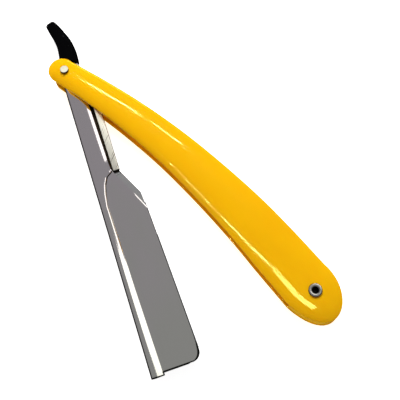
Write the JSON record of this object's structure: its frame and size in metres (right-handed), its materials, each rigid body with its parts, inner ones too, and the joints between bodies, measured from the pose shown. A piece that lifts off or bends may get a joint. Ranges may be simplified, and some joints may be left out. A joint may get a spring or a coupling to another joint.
{
  "type": "straight razor",
  "caption": "Folding barber's razor with a curved two-scale plastic handle and a folded steel holder for a replaceable half blade.",
  "frame": {"origin": "on the outer flat face of the back scale, half way from the pivot to the tail rivet", "axes": "+X from the pivot to the tail rivet, +Y towards the convex edge of the handle, +Z out of the front scale, through the razor's thickness"},
  "size_m": [0.1637, 0.0726, 0.0121],
  "materials": {
    "handle_plastic": "glossy moulded plastic, warm yellow",
    "thumb_rest_plastic": "satin moulded plastic, black",
    "polished_steel": "polished stainless sheet with fine rubbing marks",
    "rivet_steel": "bright nickel-plated rivet steel",
    "blade_steel": "ground blade steel"
  },
  "bodies": {
    "handle": {"front_scale": "handle_plastic", "back_scale": "handle_plastic", "tail_spacer": "handle_plastic", "pivot_pin": "rivet_steel", "pivot_burr": "rivet_steel", "pivot_washer_front": "rivet_steel", "pivot_washer_back": "rivet_steel", "tail_rivet": "rivet_steel", "tail_burr": "rivet_steel"},
    "arm": {"blade_holder": "polished_steel", "tang_bar": "polished_steel", "thumb_rest": "thumb_rest_plastic"},
    "blade": {"half_blade": "blade_steel"}
  },
  "joints": [
    {"name": "pivot", "type": "hinge", "parent": "handle", "child": "arm", "pos_m": [-0.0635, -0.0054, 0.0055], "axis": [0, 0, 1], "range_deg": [-245, 23.7]},
    {"name": "blade_slide", "type": "slide", "parent": "arm", "child": "blade", "axis": [0.4369, 0.8995, 0], "range_m": [0, 0.0115]}
  ]
}
